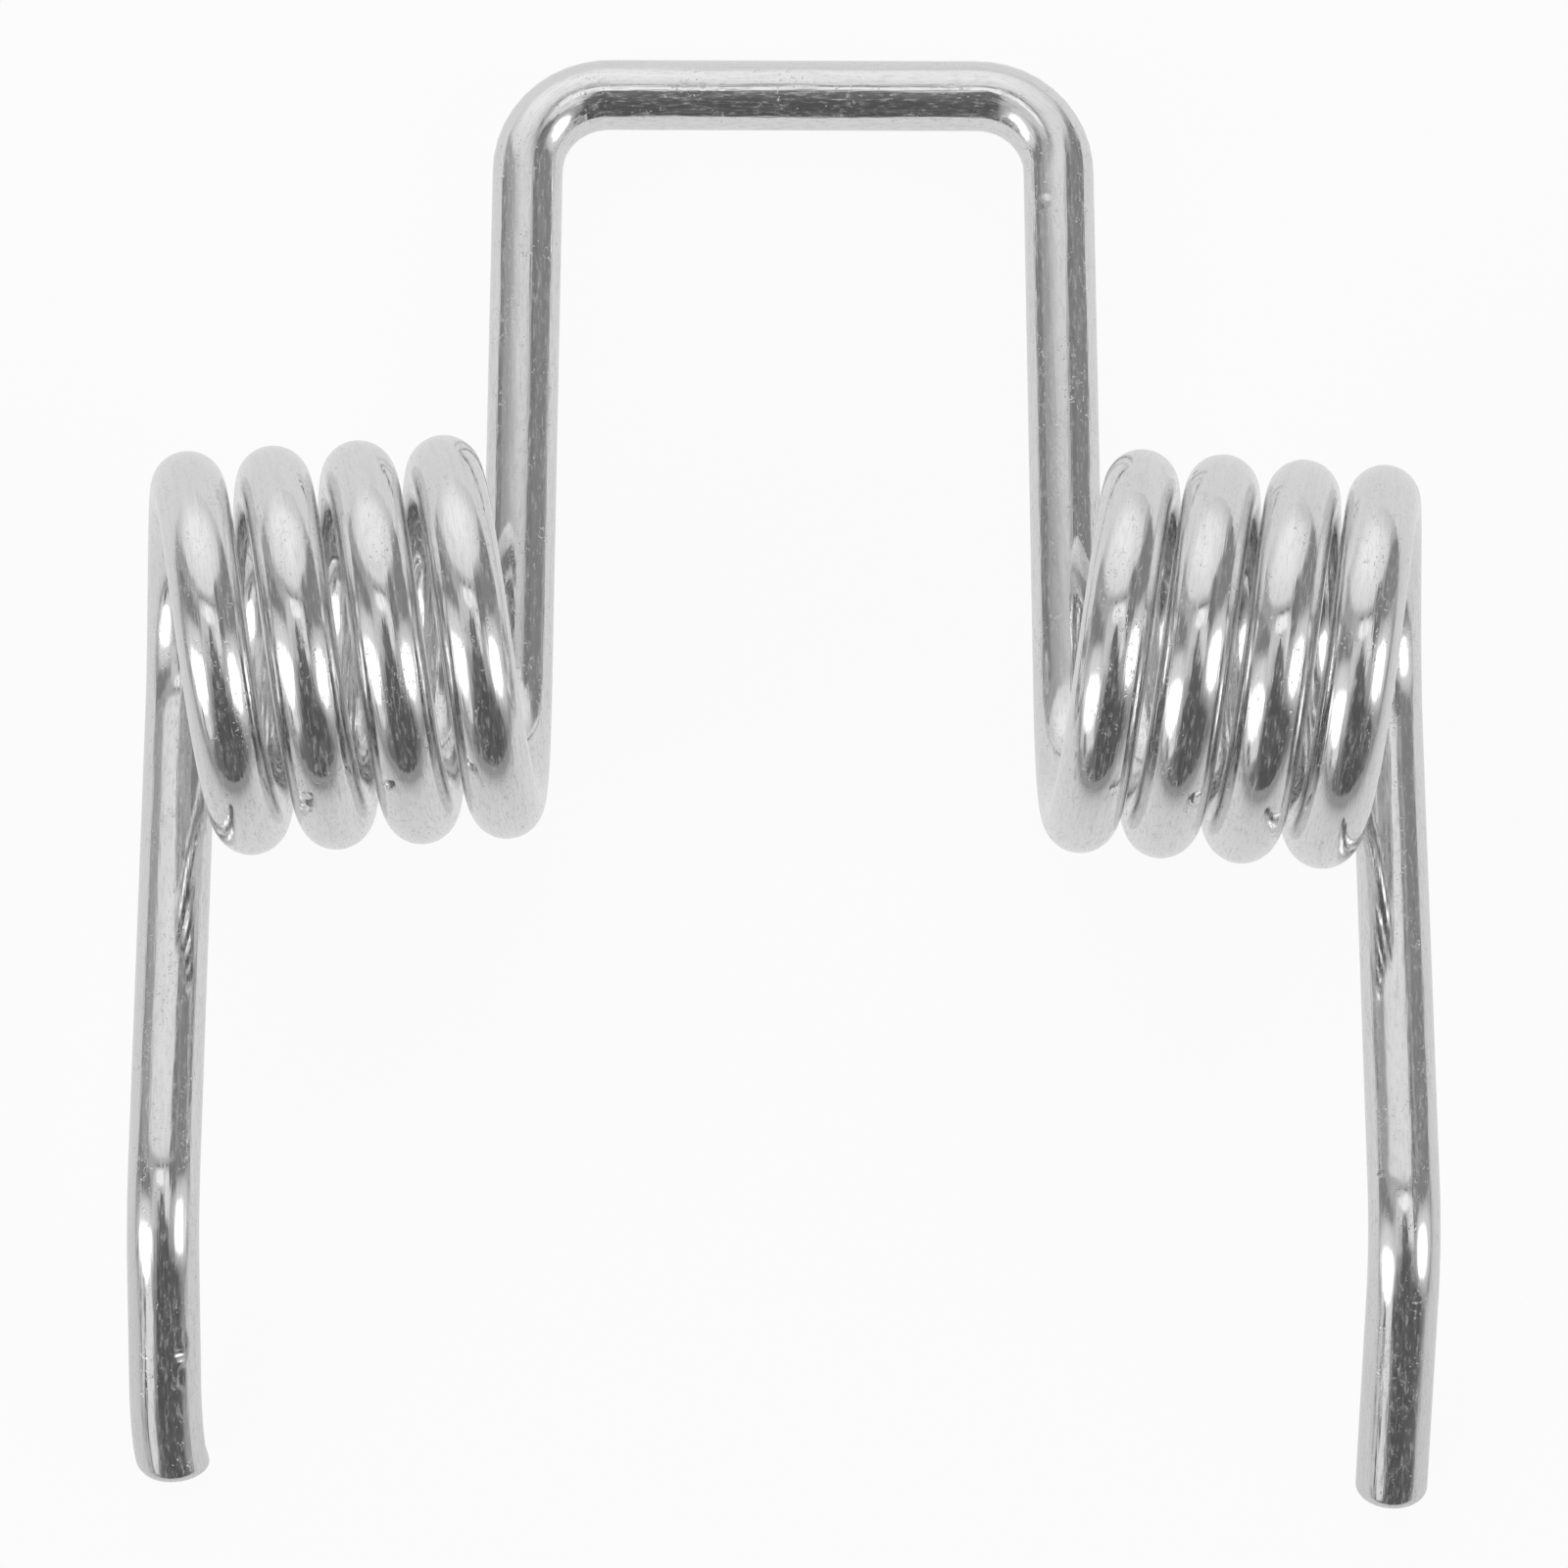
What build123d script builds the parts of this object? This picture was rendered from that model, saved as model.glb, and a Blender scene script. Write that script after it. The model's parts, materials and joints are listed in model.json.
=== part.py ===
"""Double torsion spring, bent from one length of round wire.

A square bail joins two mirrored helical coils, and each coil runs out into a straight leg with a bent end.
The spring lies on the underside of its bail's bar and on its two bent ends, with the coils arched up.
Millimetres and degrees, +Z up, origin at the middle of the bounding box's base.
"""

import os
from math import atan2, cos, pi, radians, sin, sqrt, tan

from build123d import *

# Wire
wire_diameter = 4.0
cut_rim_radius = 0.5

# Bail, measured between and along the wire's centrelines
bail_width = 30.24
bail_length_left = 35.1
bail_length_right = 35.83
bail_splay = 0.7
bail_corner_radius = 4.65

# Coils, one on each side of the bail
coil_mean_diameter = 18.6
coil_turns = 4
coil_pitch_left = 4.735
coil_pitch_right = 4.49

# Straight legs, which leave their coils a little past the last full turn
leg_lead = 5.7
leg_length_left = 26.2
leg_length_right = 26.85

# Bent ends, turned away from the coils and a little to the side
end_bend_radius = 8.5
end_bend_left = 42.2
end_bend_right = 44.2
end_sway_left = -0.3
end_sway_right = -2.5
end_length = 12.0

wire_radius = wire_diameter / 2
coil_radius = coil_mean_diameter / 2

LEFT, RIGHT = -1, 1
UP = Vector(0, 0, 1)
# Which points touch the floor depends a little on the floor's own slope, so it is found in passes.
FLOOR_PASSES = 5


class SpringSide:
    """The wire's route from the bail's corner to its cut end, on one side.

    The bail lies in the XY plane with the middle of its bar at the origin and its legs along -Y.
    The coil stands on the bail's +Z side, and advances outward from it.
    """

    def __init__(self, side, bail_length, pitch, leg_length, end_bend, end_sway):
        splay = radians(bail_splay)
        along = Vector(side * sin(splay), -cos(splay), 0)
        outward = Vector(side * cos(splay), sin(splay), 0)
        inward = Vector(-side, 0, 0)
        self.corner = Vector(side * bail_width / 2, 0, 0)
        self.corner_centre = self.corner + (along + inward) * (bail_corner_radius / cos(splay))
        self.coil_start = self.corner + along * bail_length

        # The coil's axis leans by the lead angle, so that the wire runs into it without a kink.
        lead_angle = atan2(pitch, 2 * pi * coil_radius)
        coil_axis = along * sin(lead_angle) + outward * cos(lead_angle)
        coil_centre = self.coil_start + UP * coil_radius
        coil_travel = pitch * (coil_turns + leg_lead / 360)
        coil_frame = Plane(origin=coil_centre, x_dir=-UP, z_dir=coil_axis)
        self.coil = coil_frame.location * Helix(pitch, coil_travel, coil_radius, lefthand=side == RIGHT)

        # The leg runs straight on, and its end bends away from the coil.
        leg_start, leg_direction = self.coil @ 1, self.coil % 1
        coil_end_centre = coil_centre + coil_axis * coil_travel
        away = (leg_start - coil_end_centre).normalized()
        across = (coil_axis - leg_direction * coil_axis.dot(leg_direction)).normalized()
        bend_direction = away * cos(radians(end_sway)) + across * sin(radians(end_sway))
        bend = radians(end_bend)
        bend_setback = end_bend_radius * tan(bend / 2)
        bend_corner = leg_start + leg_direction * (leg_length + bend_setback)
        self.end_direction = leg_direction * cos(bend) + bend_direction * sin(bend)
        self.tip = bend_corner + self.end_direction * (bend_setback + end_length)
        self.leg_route = (leg_start, bend_corner, self.tip)

    def lowest_in_corner(self, up):
        """Lowest point of the wire's centreline where the bail turns its corner."""
        downhill = (UP * UP.dot(up) - up).normalized()
        return self.corner_centre + downhill * bail_corner_radius

    def rim_centre(self, up):
        """Centre of the rounding at the lowest place on the rim of the cut end."""
        sideways = (self.end_direction * self.end_direction.dot(up) - up).normalized()
        return self.tip - self.end_direction * cut_rim_radius + sideways * (wire_radius - cut_rim_radius)


def floor_normal(rim_left, rim_right, bail_point):
    """Normal of the floor that both rims touch and that passes one wire radius below bail_point."""
    between = (rim_right - rim_left).normalized()
    reach = bail_point - rim_left
    reach = reach - between * reach.dot(between)
    rise = (wire_radius - cut_rim_radius) / reach.length
    toward_bail = reach.normalized()
    return toward_bail * rise + between.cross(toward_bail) * sqrt(1 - rise**2)


left = SpringSide(
    LEFT,
    bail_length=bail_length_left,
    pitch=coil_pitch_left,
    leg_length=leg_length_left,
    end_bend=end_bend_left,
    end_sway=end_sway_left,
)
right = SpringSide(
    RIGHT,
    bail_length=bail_length_right,
    pitch=coil_pitch_right,
    leg_length=leg_length_right,
    end_bend=end_bend_right,
    end_sway=end_sway_right,
)

with BuildPart() as spring_wire:
    with BuildLine() as route:
        bail_corners = (left.coil_start, left.corner, right.corner, right.coil_start)
        FilletPolyline(*bail_corners, radius=bail_corner_radius)
        add([left.coil, right.coil])
        FilletPolyline(*left.leg_route, radius=end_bend_radius)
        FilletPolyline(*right.leg_route, radius=end_bend_radius)
    wire_route = route.wire()
    with BuildSketch(Plane(origin=wire_route @ 0, z_dir=wire_route % 0)):
        Circle(wire_radius)
    sweep(path=wire_route)
    cut_faces = spring_wire.faces().filter_by(GeomType.PLANE)
    fillet(cut_faces.edges(), radius=cut_rim_radius)

# The spring is laid on the floor that its two cut ends and the lower corner of its bail touch.
bar_middle = (left.corner + right.corner) / 2
floor_up = floor_normal(left.rim_centre(UP), right.rim_centre(UP), bar_middle)
for _ in range(FLOOR_PASSES):
    low_corner_point = min((side.lowest_in_corner(floor_up) for side in (left, right)), key=floor_up.dot)
    floor_up = floor_normal(left.rim_centre(floor_up), right.rim_centre(floor_up), low_corner_point)
floor = Plane(origin=low_corner_point, x_dir=(1, 0, 0), z_dir=floor_up)
lying_spring = floor.to_local_coords(spring_wire.part)
box = lying_spring.bounding_box()
lying_spring = lying_spring.moved(Location((-box.center().X, -box.center().Y, -box.min.Z)))
lying_spring.label = "spring_wire"

os.makedirs("parts", exist_ok=True)
export_step(lying_spring, "parts/spring_wire.step")
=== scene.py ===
"""Looks of the double torsion spring, one bent wire of bright drawn steel, seen from above on a pale table.

Metres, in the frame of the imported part: +X to the right, +Y away from the viewer, +Z up.
"""

import json
from math import atan2, ceil, cos, pi, radians, sin, tan

import bpy
import numpy as np
from mathutils import Euler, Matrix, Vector


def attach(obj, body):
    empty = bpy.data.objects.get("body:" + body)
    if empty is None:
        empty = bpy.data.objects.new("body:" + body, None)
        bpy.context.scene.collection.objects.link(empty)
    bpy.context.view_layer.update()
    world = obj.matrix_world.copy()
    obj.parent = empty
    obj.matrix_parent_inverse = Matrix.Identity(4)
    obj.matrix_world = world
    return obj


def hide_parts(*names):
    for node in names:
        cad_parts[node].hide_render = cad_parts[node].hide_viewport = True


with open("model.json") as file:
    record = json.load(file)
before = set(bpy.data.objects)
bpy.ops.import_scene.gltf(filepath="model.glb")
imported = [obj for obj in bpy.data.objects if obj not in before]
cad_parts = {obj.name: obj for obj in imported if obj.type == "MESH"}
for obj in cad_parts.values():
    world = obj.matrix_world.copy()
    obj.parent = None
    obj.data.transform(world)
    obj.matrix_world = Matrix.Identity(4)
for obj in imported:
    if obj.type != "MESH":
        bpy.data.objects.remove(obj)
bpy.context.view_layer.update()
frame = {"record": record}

MM = 0.001

# The wire's route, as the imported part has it
WIRE_RADIUS = 2.0 * MM
CUT_RIM_RADIUS = 0.5 * MM
BAIL_WIDTH = 30.24 * MM
BAIL_LENGTH_LEFT = 35.1 * MM
BAIL_LENGTH_RIGHT = 35.83 * MM
BAIL_SPLAY = radians(0.7)
BAIL_CORNER_RADIUS = 4.65 * MM
COIL_RADIUS = 9.3 * MM
COIL_TURNS = 4
COIL_PITCH_LEFT = 4.735 * MM
COIL_PITCH_RIGHT = 4.49 * MM
LEG_LEAD = radians(5.7)
LEG_LENGTH_LEFT = 26.2 * MM
LEG_LENGTH_RIGHT = 26.85 * MM
END_BEND_RADIUS = 8.5 * MM
END_BEND_LEFT = radians(42.2)
END_BEND_RIGHT = radians(44.2)
END_SWAY_LEFT = radians(-0.3)
END_SWAY_RIGHT = radians(-2.5)
END_LENGTH = 12.0 * MM

# The skin's mesh
FACETS_AROUND = 72
ROUTE_STEP = 0.05 * MM
RING_STEP = 0.7 * MM
RINGS_PER_NICK = 14
RINGS_PER_CUT_RIM = 6
CUT_FACE_RING_RADII = np.array([1.0, 0.5, 0.02]) * MM

# A nick's form. Distances from its middle are in half lengths and half widths of the nick, and the height
# of its rim is a share of its depth. Closer rings reach out to NICK_REACH. At NICK_END the rim is gone.
NICK_HOLLOW_POWER = 1.5
NICK_RIM_PLACE = 1.1
NICK_RIM_SPREAD = 0.22
NICK_RIM_HEIGHT = 0.15
NICK_REACH = 1.6
NICK_END = 2

# Nicks from handling, each with the distance of its middle from the left cut end, the way the spot faces
# (right, away, up), its half length, half width and depth, all in millimetres. A negative depth is a bump.
NICKS = (
    # The deep scoop on the left end, its tail, and the small dents beside it
    (8.05, (0.49, -0.47, 0.74), 1.10, 0.50, 0.075),
    (8.55, (0.50, -0.47, 0.74), 0.70, 0.18, -0.06),
    (7.60, (0.45, -0.47, 0.75), 0.18, 0.15, 0.04),
    (6.95, (0.47, -0.47, 0.74), 0.16, 0.15, 0.02),
    (6.10, (0.47, -0.47, 0.74), 0.80, 0.22, 0.07),
    (7.40, (-0.54, -0.45, 0.71), 0.16, 0.14, 0.010),
    (8.00, (-0.64, -0.43, 0.65), 0.14, 0.14, 0.008),
    # The row of pits and the long scratch on the right end
    (646.15, (0.30, -0.54, 0.79), 0.18, 0.17, 0.06),
    (645.75, (0.28, -0.54, 0.79), 0.18, 0.17, 0.06),
    (645.35, (0.26, -0.54, 0.79), 0.18, 0.17, 0.05),
    (646.2, (-0.20, -0.53, 0.82), 2.4, 0.18, 0.035),
    (639.4, (-0.70, 0.10, 0.71), 0.20, 0.18, 0.04),
    # The bail's right side and its bar
    (348.3, (-0.49, 0.06, 0.87), 0.45, 0.36, -0.04),
    (323.0, (0.00, 0.02, 1.00), 0.22, 0.18, 0.03),
    (321.9, (0.00, 0.05, 1.00), 0.40, 0.18, 0.02),
    (324.1, (0.00, -0.02, 1.00), 0.25, 0.16, 0.02),
    # The coils
    (143.6, (-0.40, -0.81, 0.43), 0.25, 0.30, 0.05),
    (144.6, (-0.47, -0.83, 0.32), 0.22, 0.26, 0.04),
    (202.0, (-0.67, -0.67, 0.33), 0.25, 0.20, 0.05),
    (396.6, (0.53, -0.74, 0.43), 0.25, 0.20, 0.05),
    (455.2, (0.52, -0.74, 0.42), 0.40, 0.20, 0.05),
    (127.4, (-0.16, 0.64, 0.75), 0.50, 0.20, 0.04),
    (129.8, (-0.12, 0.42, 0.90), 0.40, 0.20, 0.03),
    (473.8, (-0.65, 0.64, 0.30), 0.35, 0.20, 0.04),
    (531.2, (-0.81, 0.52, 0.29), 0.30, 0.20, 0.04),
)

# The left cut end leans a little to the right, with a lip on that side and a rounding on the other
TIP_REACH = 5.0 * MM
TIP_LEAN = 0.30 * MM
LIP_REACH = 1.5 * MM
LIP_FLARE = 0.28 * MM
TIP_ROUNDING = 0.12 * MM
# Both cut ends reach a little further on their upper side than below
LEFT_SLANT = 0.38 * MM
RIGHT_SLANT = 0.32 * MM

LEFT, RIGHT = -1, 1
UP = np.array([0.0, 0.0, 1.0])


def unit(vector):
    return vector / np.linalg.norm(vector)


# ---------------------------------------------------------------- the route of the wire

def straight(start, end):
    """Points along a straight run."""
    count = max(2, ceil(np.linalg.norm(end - start) / ROUTE_STEP))
    return start + np.linspace(0, 1, count)[:, None] * (end - start)


def rounded_corner(before, corner, after, radius):
    """Arc of the given radius that rounds the corner between two straight runs."""
    inward, onward = unit(before - corner), unit(after - corner)
    half_angle = np.arccos(inward @ onward) / 2
    turn = pi - 2 * half_angle
    start = corner + inward * radius / tan(half_angle)
    centre = corner + unit(inward + onward) * radius / sin(half_angle)
    out = unit(start - centre)
    angles = np.linspace(0, turn, ceil(turn * radius / ROUTE_STEP))[:, None]
    return centre + radius * (out * np.cos(angles) - inward * np.sin(angles))


def spring_side(side, bail_length, pitch, leg_length, end_bend, end_sway):
    """Points of one side's wire, from the bail's corner to its cut end, and its mounts' places.

    The bail lies in the XY plane, with the middle of its bar at the origin and its legs along -Y.
    """
    along = np.array([side * sin(BAIL_SPLAY), -cos(BAIL_SPLAY), 0])
    outward = np.array([side * cos(BAIL_SPLAY), sin(BAIL_SPLAY), 0])
    corner = np.array([side * BAIL_WIDTH / 2, 0, 0])
    coil_start = corner + along * bail_length

    lead_angle = atan2(pitch, 2 * pi * COIL_RADIUS)
    axis = along * sin(lead_angle) + outward * cos(lead_angle)
    forward = along * cos(lead_angle) - outward * sin(lead_angle)
    centre = coil_start + UP * COIL_RADIUS
    turned = 2 * pi * COIL_TURNS + LEG_LEAD
    angles = np.linspace(0, turned, ceil(turned * COIL_RADIUS / ROUTE_STEP))[:, None]
    circling = COIL_RADIUS * (forward * np.sin(angles) - UP * np.cos(angles))
    coil = centre + circling + axis * pitch * angles / (2 * pi)

    leg_start = coil[-1]
    travel = pitch * turned / (2 * pi)
    away = unit(circling[-1])
    leg_direction = unit(
        (forward * cos(turned) + UP * sin(turned)) * cos(lead_angle) + axis * sin(lead_angle)
    )
    across = unit(axis - leg_direction * (axis @ leg_direction))
    bend_direction = away * cos(end_sway) + across * sin(end_sway)
    setback = END_BEND_RADIUS * tan(end_bend / 2)
    bend_corner = leg_start + leg_direction * (leg_length + setback)
    end_direction = leg_direction * cos(end_bend) + bend_direction * sin(end_bend)
    tip = bend_corner + end_direction * (setback + END_LENGTH)
    bend = rounded_corner(leg_start, bend_corner, tip, END_BEND_RADIUS)

    points = [coil, straight(leg_start, bend[0]), bend, straight(bend[-1], tip)]
    end_middle = tip - end_direction * (END_LENGTH + CUT_RIM_RADIUS) / 2
    mounts = {"coil": centre + axis * travel / 2, "end": end_middle}
    return corner, coil_start, points, mounts


def carried_to_mounts(own_places):
    """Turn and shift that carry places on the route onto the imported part's mounts of the same names."""
    packed = {mount["name"]: mount["pos_m"] for mount in frame["record"]["mounts"]}
    ours = np.array([own_places[name] for name in sorted(own_places)])
    theirs = np.array([packed[name] for name in sorted(own_places)])
    u, _, vt = np.linalg.svd((ours - ours.mean(0)).T @ (theirs - theirs.mean(0)))
    turn = vt.T @ np.diag([1, 1, np.linalg.det(vt.T @ u.T)]) @ u.T
    return turn, theirs.mean(0) - turn @ ours.mean(0)


def wire_route():
    """Closely spaced points along the wire's centreline, from the left cut end to the right one."""
    left_corner, left_start, left_points, left_mounts = spring_side(
        LEFT, BAIL_LENGTH_LEFT, COIL_PITCH_LEFT, LEG_LENGTH_LEFT, END_BEND_LEFT, END_SWAY_LEFT
    )
    right_corner, right_start, right_points, right_mounts = spring_side(
        RIGHT, BAIL_LENGTH_RIGHT, COIL_PITCH_RIGHT, LEG_LENGTH_RIGHT, END_BEND_RIGHT, END_SWAY_RIGHT
    )
    left_arc = rounded_corner(left_start, left_corner, right_corner, BAIL_CORNER_RADIUS)
    right_arc = rounded_corner(left_corner, right_corner, right_start, BAIL_CORNER_RADIUS)
    stretches = [piece[::-1] for piece in reversed(left_points)]
    stretches += [straight(left_start, left_arc[0]), left_arc]
    stretches += [straight(left_arc[-1], right_arc[0]), right_arc]
    stretches += [straight(right_arc[-1], right_start)] + right_points
    points = np.vstack([stretches[0]] + [stretch[1:] for stretch in stretches[1:]])
    places = {f"left_{name}": place for name, place in left_mounts.items()}
    places |= {f"right_{name}": place for name, place in right_mounts.items()}
    places["bail_bar"] = np.zeros(3)
    turn, shift = carried_to_mounts(places)
    return points @ turn.T + shift


class Wire:
    """The wire's centreline by distance from its left cut end, with a frame that doesn't twist along it."""

    def __init__(self, points):
        steps = np.linalg.norm(np.diff(points, axis=0), axis=1)
        self.points = points
        self.distances = np.r_[0, np.cumsum(steps)]
        self.length = self.distances[-1]

    def at(self, distances):
        return np.column_stack([np.interp(distances, self.distances, axis) for axis in self.points.T])

    def tangents(self, distances):
        low = np.maximum(distances - ROUTE_STEP, 0)
        high = np.minimum(distances + ROUTE_STEP, self.length)
        ahead = self.at(high) - self.at(low)
        return ahead / np.linalg.norm(ahead, axis=1, keepdims=True)

    def frames(self, distances):
        """Centre, tangent and two crosswise directions at each distance."""
        centres, tangents = self.at(distances), self.tangents(distances)
        normals = np.zeros_like(centres)
        normal = UP
        for i, tangent in enumerate(tangents):
            normal = unit(normal - tangent * (normal @ tangent))
            normals[i] = normal
        return centres, tangents, normals, np.cross(tangents, normals)


# ---------------------------------------------------------------- the wire's skin

def ring_distances(wire):
    """Distances of the skin's rings between its two cut rims, closer together at the nicks."""
    places = np.arange(CUT_RIM_RADIUS, wire.length - CUT_RIM_RADIUS, ROUTE_STEP)
    steps = np.full(len(places), RING_STEP)
    for distance, _, half_length, _, _ in NICKS:
        reach = NICK_REACH * half_length * MM
        close = np.abs(places - distance * MM) < reach
        steps[close] = np.minimum(steps[close], 2 * reach / RINGS_PER_NICK)
    rings_passed = np.cumsum(ROUTE_STEP / steps)
    wanted = np.linspace(rings_passed[0], rings_passed[-1], ceil(rings_passed[-1]))
    distances = np.interp(wanted, rings_passed, places)
    distances[-1] = wire.length - CUT_RIM_RADIUS
    return distances


def nick_heights(distances, tangents, outward):
    """How far the nicks press the skin in or raise it, as a hollow with a low rim around it."""
    heights = np.zeros(outward.shape[:2])
    for distance, facing, half_length, half_width, depth in NICKS:
        along = (distances - distance * MM) / (half_length * MM)
        near = np.flatnonzero(np.abs(along) < NICK_END)
        faced = np.array(facing) - tangents[near] * (tangents[near] @ np.array(facing))[:, None]
        faced /= np.linalg.norm(faced, axis=1, keepdims=True)
        angle = np.arccos(np.clip((outward[near] * faced[:, None]).sum(2), -1, 1))
        around = angle * WIRE_RADIUS / (half_width * MM)
        reach = np.hypot(along[near][:, None], around)
        hollow = np.clip(1 - reach**2, 0, 1) ** NICK_HOLLOW_POWER
        rim = np.exp(-(((reach - NICK_RIM_PLACE) / NICK_RIM_SPREAD) ** 2))
        heights[near] += (NICK_RIM_HEIGHT * rim - hollow) * depth * MM
    return heights


def shape_left_tip(vertices, outward, distances):
    """Leans the left cut end to the right, and gives it its lip and its rounded side."""
    lean = TIP_LEAN * np.clip(1 - distances / TIP_REACH, 0, 1) ** 2
    close = np.clip(1 - distances / LIP_REACH, 0, 1)[:, None] ** 2
    right_side = np.clip(outward[:, :, 0], 0, 1) ** 2
    left_side = np.clip(-outward[:, :, 0], 0, 1) ** 2
    vertices[:, :, 0] += lean[:, None] + close * (LIP_FLARE * right_side + TIP_ROUNDING * left_side)


def slant_cut_ends(vertices, outward, distances, tangents, length):
    """Lets the upper side of both cut ends reach a little further than the underside."""
    upper_side = np.clip(outward[:, :, 2], 0, 1)
    left_end = (LEFT_SLANT, distances, -tangents[0])
    right_end = (RIGHT_SLANT, length - distances, tangents[-1])
    for slant, from_tip, onward in (left_end, right_end):
        close = np.clip(1 - from_tip / LIP_REACH, 0, 1)[:, None] ** 2
        vertices += slant * (close * upper_side)[:, :, None] * onward


def skin_rings(wire):
    """Distance and radius of each ring, from the middle of the left cut face to that of the right one."""
    rim_angles = np.linspace(0, pi / 2, RINGS_PER_CUT_RIM + 1)[1:]
    rim_back = CUT_RIM_RADIUS * (1 - np.sin(rim_angles))
    rim_radii = WIRE_RADIUS - CUT_RIM_RADIUS * (1 - np.cos(rim_angles))
    body = ring_distances(wire)
    on_face = np.zeros(len(CUT_FACE_RING_RADII))
    distances = np.r_[on_face, rim_back[::-1], body, wire.length - rim_back, wire.length + on_face]
    rounding = np.r_[rim_radii, CUT_FACE_RING_RADII]
    radii = np.r_[rounding[::-1], np.full(len(body), WIRE_RADIUS), rounding]
    return distances, radii


def ring_faces(count):
    """Quads between neighbouring rings, with a cap on the first ring and on the last."""
    rings = np.arange(count * FACETS_AROUND).reshape(count, FACETS_AROUND)
    here, ahead = rings[:-1], rings[1:]
    here_next, ahead_next = np.roll(here, -1, 1), np.roll(ahead, -1, 1)
    quads = np.stack([here, here_next, ahead_next, ahead], axis=2).reshape(-1, 4)
    return quads.tolist() + [rings[0][::-1].tolist(), rings[-1].tolist()]


def mark_places(mesh, distances, radii, angles):
    """Stores where each point lies along and across the straight wire, so that the grain follows bends."""
    place = np.empty((len(distances), FACETS_AROUND, 3), dtype=np.float32)
    place[:, :, 0] = distances[:, None]
    place[:, :, 1] = radii[:, None] * np.cos(angles)
    place[:, :, 2] = radii[:, None] * np.sin(angles)
    attribute = mesh.attributes.new("wire_place", "FLOAT_VECTOR", "POINT")
    attribute.data.foreach_set("vector", place.reshape(-1))


def wire_skin(wire):
    """The whole wire's skin: rings along the route, rounded rims and flat cut faces."""
    distances, radii = skin_rings(wire)
    centres, tangents, normals, sides = wire.frames(distances)
    angles = np.linspace(0, 2 * pi, FACETS_AROUND, endpoint=False)
    cosines, sines = np.cos(angles)[:, None], np.sin(angles)[:, None]
    outward = normals[:, None] * cosines + sides[:, None] * sines
    heights = nick_heights(distances, tangents, outward)
    vertices = centres[:, None] + outward * (radii[:, None] + heights)[:, :, None]
    reach_out = outward * (radii / WIRE_RADIUS)[:, None, None]
    shape_left_tip(vertices, reach_out, distances)
    slant_cut_ends(vertices, reach_out, distances, tangents, wire.length)

    mesh = bpy.data.meshes.new("spring_wire_skin")
    mesh.from_pydata(vertices.reshape(-1, 3).tolist(), [], ring_faces(len(distances)))
    mesh.shade_smooth()
    mark_places(mesh, distances, radii, angles)
    mesh.update()
    skin = bpy.data.objects.new("spring_wire_skin", mesh)
    bpy.context.scene.collection.objects.link(skin)
    return skin


# ---------------------------------------------------------------- shader helpers

class Nodes:
    """Short calls that add nodes to a tree and link them."""

    def __init__(self, tree):
        self.tree = tree
        tree.nodes.clear()

    def add(self, kind, inputs=None, **settings):
        """New node, whose inputs are given by name or number, each as a value or as a socket to link."""
        node = self.tree.nodes.new(kind)
        for name, value in settings.items():
            setattr(node, name, value)
        for name, value in (inputs or {}).items():
            socket = node.inputs[name]
            if isinstance(value, bpy.types.NodeSocket):
                self.tree.links.new(value, socket)
            else:
                socket.default_value = value
        return node

    def math(self, operation, *values):
        return self.add("ShaderNodeMath", dict(enumerate(values)), operation=operation).outputs[0]

    def difference(self, a, b):
        return self.math("SUBTRACT", a, b)

    def product(self, a, b):
        return self.math("MULTIPLY", a, b)

    def total(self, *terms):
        """Sum of terms, each given as its share and its value."""
        result = 0.0
        for share, value in terms:
            result = self.math("MULTIPLY_ADD", value, share, result)
        return result

    def ramp(self, value, low, high, from_value=0.0, to_value=1.0):
        """Smooth step from from_value to to_value as value goes from low to high."""
        inputs = {"Value": value, "From Min": low, "From Max": high}
        inputs |= {"To Min": from_value, "To Max": to_value}
        return self.add("ShaderNodeMapRange", inputs, interpolation_type="SMOOTHSTEP").outputs[0]

    def mix(self, factor, a, b):
        return self.add("ShaderNodeMix", {0: factor, 2: a, 3: b}, data_type="FLOAT").outputs[0]


# ---------------------------------------------------------------- the room's light

# The camera looks down at the table, leaning back a little.
CAMERA_TURN = Euler((radians(11.793), radians(-0.639), radians(0.087)))
CAMERA_PLACE = Vector((-6.22, -121.57, 581.28)) * MM
CAMERA_LENS = 240.43

# A patch of light is an oval whose sides are a little fuller than an ellipse's, which has power 2.
PATCH_POWER = 2.5


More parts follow.
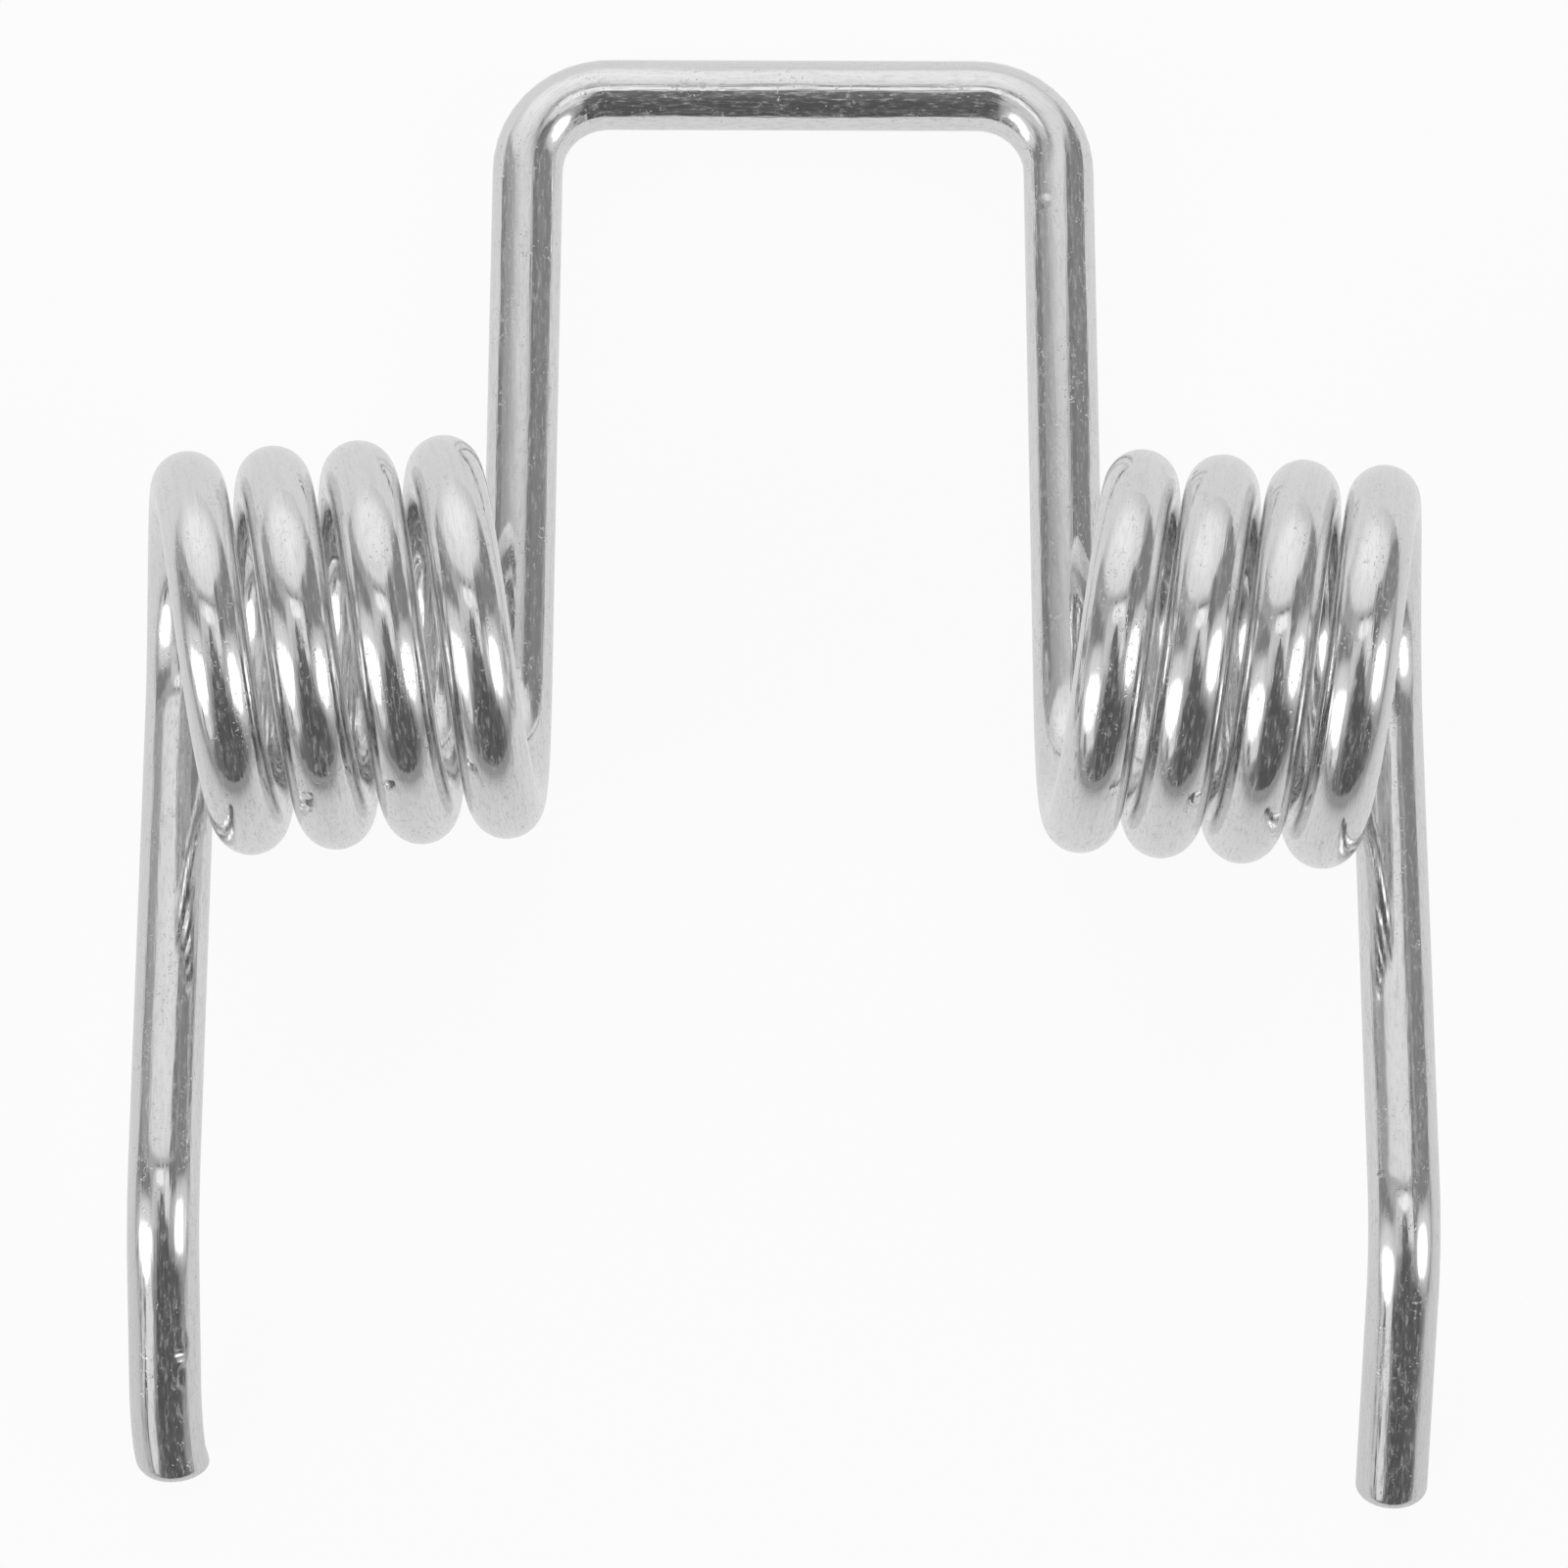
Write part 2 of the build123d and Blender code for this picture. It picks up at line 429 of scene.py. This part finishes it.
def studio_light():
    """The room around the table: a bright far wall and ceiling, two soft boxes, and a dark near side.

    Directions are longitude and latitude in degrees on a globe that is fixed to the room. Its zero points
    from the table to the photographer, its east is the table's right and its north is the far wall.
    """
    world = bpy.data.worlds.new("studio")
    bpy.context.scene.world = world
    world.use_nodes = True
    nodes = Nodes(world.node_tree)
    direction = nodes.add("ShaderNodeTexCoord").outputs["Generated"]
    globe = nodes.add(
        "ShaderNodeVectorRotate",
        {"Vector": direction, "Rotation": CAMERA_TURN},
        rotation_type="EULER_XYZ",
        invert=True,
    )
    east, north, out = nodes.add("ShaderNodeSeparateXYZ", {0: globe.outputs[0]}).outputs
    longitude = nodes.math("DEGREES", nodes.math("ARCTAN2", east, out))
    latitude = nodes.math("DEGREES", nodes.math("ARCSINE", north))
    height = nodes.add("ShaderNodeSeparateXYZ", {0: direction}).outputs["Z"]

    def patch(below, lon, lat, half_width, half_height, light, soft=0.3, tilt=0.0, taper=0.0):
        """Lays an oval patch of light over what is below it.

        Its edge blurs by soft on both sides, tilt lifts its east side, and taper narrows it upward.
        """
        across = nodes.difference(longitude, lon)
        upward = nodes.difference(latitude, lat)
        if tilt:
            upward = nodes.difference(upward, nodes.product(across, tilt))
        width = half_width
        if taper:
            narrowing = nodes.product(upward, taper / half_height)
            width = nodes.product(nodes.difference(1.0, narrowing), half_width)
        reaches = [nodes.math("DIVIDE", across, width), nodes.math("DIVIDE", upward, half_height)]
        powers = [nodes.math("POWER", nodes.math("ABSOLUTE", reach), PATCH_POWER) for reach in reaches]
        cover = nodes.ramp(nodes.math("ADD", *powers), 1 - soft, 1 + soft, 1.0, 0.0)
        return nodes.mix(cover, below, light)

    # The near side's dark, and the grey of the walls around the two soft boxes
    light = nodes.ramp(latitude, -48, 0, 0.16, 0.46)
    light = patch(light, -72, -15, 48, 36, 0.46, soft=0.5, tilt=0.05)
    light = patch(light, 70, -7, 36, 22, 0.38, soft=0.5)
    light = patch(light, 21, -68, 52, 42, 0.10, soft=0.4)
    # The bright gap between the boxes, and the photographer standing in it
    light = patch(light, -5, 8, 28, 20, 0.55, soft=0.3)
    light = patch(light, -4, 17, 27, 11, 0.66, soft=0.4)
    light = patch(light, 18, 7, 7, 16, 0.84, soft=0.4, taper=-0.3)
    light = patch(light, -27, 2, 5, 13, 0.68, soft=0.6)
    light = patch(light, -3, 21, 17, 5, 1.05, soft=0.6)
    figure = nodes.ramp(latitude, -35, 10, 0.10, 0.16)
    light = patch(light, -2, 4, 9, 11, figure, soft=0.2, taper=0.8)
    light = patch(light, 3, -36, 27, 36, figure, soft=0.3, taper=0.35)
    # Dark wall on both sides above the boxes
    light = patch(light, -88, 17, 38, 24, 0.38, soft=0.4, tilt=0.2)
    light = patch(light, -66, 15, 29, 8, 0.24, soft=0.5, tilt=-0.1)
    light = patch(light, 77, 30, 32, 15, 0.25, soft=0.4, tilt=0.1)
    light = patch(light, 36, 25, 11, 16, 0.22, soft=0.5)
    light = patch(light, 28, 14, 2.5, 13, 0.14, soft=0.6)
    light = patch(light, 50, -38, 22, 9, 0.11, soft=0.6)
    # The soft boxes, in the glow that they throw on the walls
    light = patch(light, -59, -15, 28, 22, 0.80, soft=0.7)
    light = patch(light, 62, -5, 27, 18, 0.75, soft=0.7)
    light = patch(light, -54, -38, 12, 9, 0.82, soft=0.5)
    light = patch(light, -71, -36, 4, 8, 0.18, soft=0.6)
    light = patch(light, -57, -19.5, 20, 13.5, 2.0, soft=0.6, tilt=-0.1, taper=-0.35)
    light = patch(light, 57, -8, 17, 12.5, 2.0, soft=0.6)
    # A thin dark edge over the gap
    light = patch(light, -2, 28, 26, 1.0, 0.25, soft=0.6)

    # The white ceiling and far wall, whose lower edge rises by some degrees to the right and to the left
    near_right = nodes.ramp(longitude, 12, 40, 0, 10)
    far_right = nodes.ramp(longitude, 50, 90, 0, 10)
    far_left = nodes.ramp(longitude, -95, -45, 6, 2)
    rise = nodes.math("ADD", nodes.math("ADD", near_right, far_right), far_left)
    above = nodes.difference(latitude, rise)
    ceiling = nodes.ramp(above, 26, 60, 0.78, nodes.ramp(longitude, -20, 110, 1.0, 0.9))
    # Near the table's edge the ceiling's light falls off towards the table's own.
    ceiling = nodes.product(ceiling, nodes.ramp(height, 0.0, 0.40, 0.80, 1.0))
    light = nodes.mix(nodes.ramp(above, 28, 33), light, ceiling)

    background = nodes.add("ShaderNodeBackground", {"Color": (1, 1, 1, 1), "Strength": light})
    nodes.add("ShaderNodeOutputWorld", {"Surface": background.outputs[0]})
    # The metal's own reflections find this soft light, so aiming extra rays at it would only cost time.
    world.cycles.sampling_method = "NONE"


# ---------------------------------------------------------------- the wire's metal

MICRON = 1e-6

METAL_TONE = 0.81
METAL_ROUGHNESS = 0.06
# How much darker the pits and the hair scratches are
PIT_SHADE = 0.16
SCRATCH_SHADE = 0.08
# The pits' spacing, and how far and how finely they are warped out of round
PIT_SPACING = 0.42 * MM
PIT_WARP = 0.55 * MM
PIT_WARP_GRAIN = 0.16 * MM


def wire_metal():
    """Bright drawn steel: fine lines along the wire, dull streaks and clouds, pits and hair scratches."""
    material = bpy.data.materials.new("bright_drawn_wire")
    material.use_nodes = True
    nodes = Nodes(material.node_tree)
    place = nodes.add("ShaderNodeAttribute", attribute_name="wire_place").outputs["Vector"]

    def grain(width, length, detail=2.0):
        """Noise from about -1 to 1, in patches of this width around the wire and this length along it."""
        squeeze = {0: place, 1: (width / length, 1.0, 1.0)}
        drawn = nodes.add("ShaderNodeVectorMath", squeeze, operation="MULTIPLY").outputs["Vector"]
        settings = {"Vector": drawn, "Scale": 1 / width, "Detail": detail}
        noise = nodes.add("ShaderNodeTexNoise", settings).outputs["Fac"]
        return nodes.math("MULTIPLY_ADD", noise, 4.0, -2.0)

    streaks = nodes.ramp(grain(0.13 * MM, 3.0 * MM), 0.1, 1.2)
    mottle = nodes.ramp(grain(0.15 * MM, 0.6 * MM, 3.0), -0.1, 1.1)
    clouds = nodes.ramp(grain(0.30 * MM, 1.2 * MM, 3.0), -0.3, 1.3)
    lines = grain(0.11 * MM, 4.0 * MM)

    # Sparse pits and hair scratches, in patches where the wire was handled
    handled = nodes.ramp(grain(1.6 * MM, 3.0 * MM, 1.0), -0.05, 0.40)
    swirl = nodes.add("ShaderNodeTexNoise", {"Vector": place, "Scale": 1 / PIT_WARP_GRAIN, "Detail": 0.0})
    warp = {0: swirl.outputs["Color"], 1: (PIT_WARP, PIT_WARP, PIT_WARP), 2: place}
    warped = nodes.add("ShaderNodeVectorMath", warp, operation="MULTIPLY_ADD").outputs["Vector"]
    cells = nodes.add("ShaderNodeTexVoronoi", {"Vector": warped, "Scale": 1 / PIT_SPACING})
    pits = nodes.product(nodes.ramp(cells.outputs["Distance"], 0.08, 0.26, 1.0, 0.0), handled)
    contours = nodes.math("ABSOLUTE", grain(0.9 * MM, 1.6 * MM, 1.0))
    scratches = nodes.product(nodes.ramp(contours, 0.0, 0.05, 1.0, 0.0), handled)

    shades = nodes.total((0.02, grain(0.30 * MM, 4.0 * MM)), (0.015, grain(1.2 * MM, 6.0 * MM)))
    marks = nodes.total((PIT_SHADE, pits), (SCRATCH_SHADE, scratches))
    tone = nodes.difference(nodes.math("ADD", shades, METAL_TONE), marks)
    relief = nodes.total(
        (4.0 * MICRON, grain(0.45 * MM, 3.5 * MM)),
        (1.4 * MICRON, lines),
        (10.0 * MICRON, grain(2.2 * MM, 9.0 * MM, 1.0)),
        (-12.0 * MICRON, pits),
    )
    bump = nodes.add("ShaderNodeBump", {"Strength": 1.0, "Distance": 1.0, "Height": relief})
    roughness = nodes.total((0.14, streaks), (0.08, mottle), (0.08, clouds), (0.02, lines))
    # Where the face is dull, it mirrors less.
    haze = nodes.total((0.18, streaks), (0.36, mottle), (0.20, clouds))
    shader = nodes.add(
        "ShaderNodeBsdfPrincipled",
        {
            "Metallic": nodes.difference(1.0, haze),
            "Base Color": tone,
            "Roughness": nodes.math("ADD", roughness, METAL_ROUGHNESS),
            "Normal": bump.outputs["Normal"],
        },
    )
    nodes.add("ShaderNodeOutputMaterial", {"Surface": shader.outputs[0]})
    return material


# ---------------------------------------------------------------- the table and the camera

TABLE_HALF_SIZE = 1.2
TABLE_COLOUR = (0.9, 0.9, 0.9, 1)
# The share of plain white that the camera sees. The rest is the table's lit face, with the shadow on it.
TABLE_WHITE_SHARE = 0.93
# Reflected in the metal, the table has a pool of light around the spring: how bright it is, how bright
# the table is far away, and the distances from the middle where the pool begins to fade and ends.
POOL_LIGHT = 0.80
FAR_LIGHT = 0.30
POOL_FADE_START = 0.02
POOL_FADE_END = 0.28
# Towards the viewer the pool fades sooner: distances count this much more, from this place on.
NEAR_SIDE_START = 0.01
NEAR_SIDE_FACTOR = 1.7


def pool_of_light(nodes):
    """How bright each place of the table is when the metal reflects it."""
    position = nodes.add("ShaderNodeNewGeometry").outputs["Position"]
    x, y, _ = nodes.add("ShaderNodeSeparateXYZ", {0: position}).outputs
    # Behind the spring the pool widens as much as it goes back.
    sideways = nodes.difference(nodes.math("ABSOLUTE", x), nodes.math("MAXIMUM", y, 0.0))
    sideways = nodes.math("MAXIMUM", sideways, 0.0)
    forward = nodes.math("MINIMUM", nodes.difference(y, NEAR_SIDE_START), 0.0)
    forward = nodes.product(forward, NEAR_SIDE_FACTOR)
    squares = nodes.math("MULTIPLY_ADD", forward, forward, nodes.product(sideways, sideways))
    return nodes.ramp(nodes.math("SQRT", squares), POOL_FADE_START, POOL_FADE_END, POOL_LIGHT, FAR_LIGHT)


def pale_table():
    """Material that is nearly white to the camera, and keeps the spring's shadow."""
    material = bpy.data.materials.new("pale_table")
    material.use_nodes = True
    nodes = Nodes(material.node_tree)
    path = nodes.add("ShaderNodeLightPath").outputs
    reflected = nodes.difference(1.0, path["Is Camera Ray"])
    strength = nodes.mix(reflected, 1.0, pool_of_light(nodes))
    glow = nodes.add("ShaderNodeEmission", {"Color": (1, 1, 1, 1), "Strength": strength})
    lit = nodes.add("ShaderNodeBsdfDiffuse", {"Color": TABLE_COLOUR})
    seen = nodes.math("MAXIMUM", path["Is Camera Ray"], path["Is Glossy Ray"])
    seen = nodes.math("MAXIMUM", seen, path["Is Transmission Ray"])
    share = nodes.product(seen, TABLE_WHITE_SHARE)
    mixed = nodes.add("ShaderNodeMixShader", {0: share, 1: lit.outputs[0], 2: glow.outputs[0]})
    nodes.add("ShaderNodeOutputMaterial", {"Surface": mixed.outputs[0]})
    return material


def table():
    """A plain pale table under the spring."""
    size = TABLE_HALF_SIZE
    corners = [(-size, -size, 0), (size, -size, 0), (size, size, 0), (-size, size, 0)]
    mesh = bpy.data.meshes.new("table")
    mesh.from_pydata(corners, [], [(0, 1, 2, 3)])
    mesh.materials.append(pale_table())
    top = bpy.data.objects.new("table", mesh)
    bpy.context.scene.collection.objects.link(top)


def camera():
    """The photograph's view, with a sensor width in millimetres and clip distances in metres."""
    data = bpy.data.cameras.new("camera")
    data.lens = CAMERA_LENS
    data.sensor_width = 36
    data.clip_start = 0.01
    data.clip_end = 20
    view = bpy.data.objects.new("camera", data)
    view.location = CAMERA_PLACE
    view.rotation_euler = CAMERA_TURN
    bpy.context.scene.collection.objects.link(view)
    bpy.context.scene.camera = view


wire = Wire(wire_route())
skin = wire_skin(wire)
skin.data.materials.append(wire_metal())
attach(skin, "root")
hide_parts("spring_wire")
table()
studio_light()
camera()
bpy.context.scene.view_settings.view_transform = "Standard"
# Light gets into the gaps between the turns only by way of several reflections.
bpy.context.scene.cycles.glossy_bounces = 8
